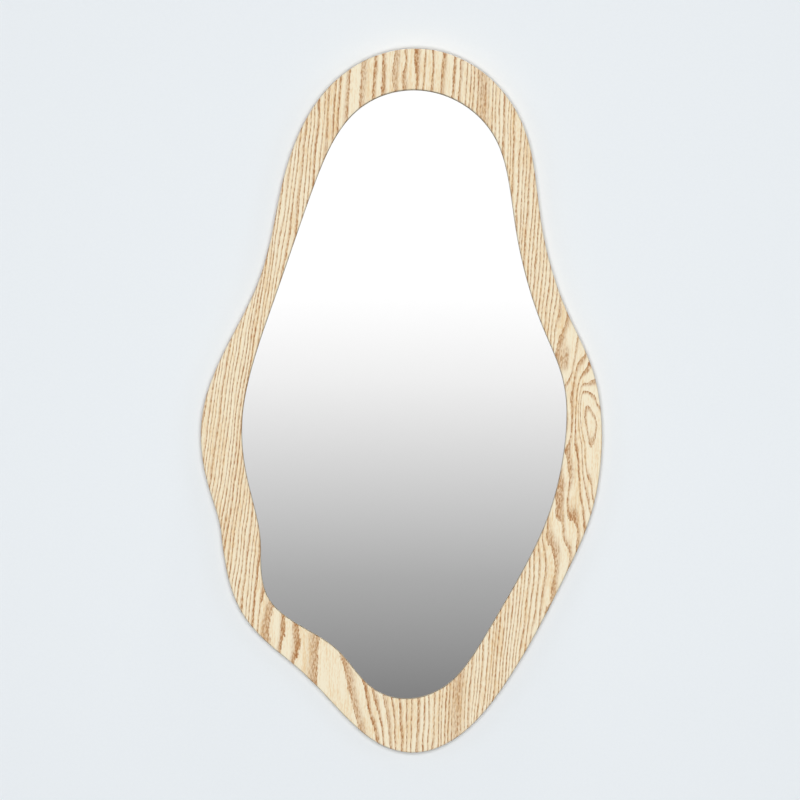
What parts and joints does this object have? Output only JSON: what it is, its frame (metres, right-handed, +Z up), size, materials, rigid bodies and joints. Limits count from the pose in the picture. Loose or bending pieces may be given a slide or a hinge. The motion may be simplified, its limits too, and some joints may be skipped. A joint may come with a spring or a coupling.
{
  "type": "irregular wall mirror",
  "caption": "Pebble-shaped wall mirror: a pale ash-faced ring of uneven width round silvered glass, with a screwed back board and swinging wire hangers.",
  "frame": {"origin": "point on the wall plane behind the middle of the outline's box, named by the mount wall_datum", "axes": "+X to the right as the mirror is looked at, +Z up, -Y out of the wall towards the viewer; the wall is Y = 0"},
  "size_m": [0.4012, 0.022, 0.7043],
  "materials": {
    "ash_face": "pale ash with straight and cathedral grain under a clear matt lacquer",
    "ash_edging": "thin ash edging, grain along its length, clear matt lacquer",
    "fibreboard": "raw medium-density fibreboard, matt",
    "mirror_glass": "clear polished float glass with a ground arris",
    "silvering": "silver mirror coating, grey protective paint behind it",
    "foam_tape": "white double-sided foam tape",
    "spacer_rubber": "soft black rubber",
    "packing_foam": null,
    "hardboard": "dark brown hardboard, smooth side out",
    "screw_steel": "yellow zinc-plated steel",
    "hanger_steel": "bright zinc-plated steel strip",
    "hanger_wire": "bright zinc-plated steel wire",
    "bumper_rubber": "dark soft rubber"
  },
  "bodies": {
    "frame": {"face_veneer": "ash_face", "frame_core": "fibreboard", "outer_edge_band": "ash_edging", "inner_edge_band": "ash_edging", "mirror_glass": "mirror_glass", "mirror_silvering": "silvering", "glass_tape_1": "foam_tape", "glass_tape_2": "foam_tape", "glass_tape_3": "foam_tape", "glass_tape_4": "foam_tape", "glass_tape_5": "foam_tape", "glass_tape_6": "foam_tape", "glass_spacer_left": "spacer_rubber", "glass_spacer_right": "spacer_rubber", "foam_sheet": "packing_foam", "back_board": "hardboard", "back_board_screws": "screw_steel", "hanger_strap_left": "hanger_steel", "hanger_strap_right": "hanger_steel", "hanger_screws": "screw_steel", "wall_bumper_1": "bumper_rubber", "wall_bumper_2": "bumper_rubber", "wall_bumper_3": "bumper_rubber", "wall_bumper_4": "bumper_rubber"},
    "ring_left": {"hanger_ring_left": "hanger_wire"},
    "ring_right": {"hanger_ring_right": "hanger_wire"}
  },
  "joints": [
    {"name": "ring_left_swing", "type": "hinge", "parent": "frame", "child": "ring_left", "pos_m": [-0.10357, -0.0021, 0.23], "axis": [-1, 0, 0], "range_deg": [0, 170]},
    {"name": "ring_right_swing", "type": "hinge", "parent": "frame", "child": "ring_right", "pos_m": [0.12173, -0.0021, 0.23], "axis": [-1, 0, 0], "range_deg": [0, 170]}
  ]
}
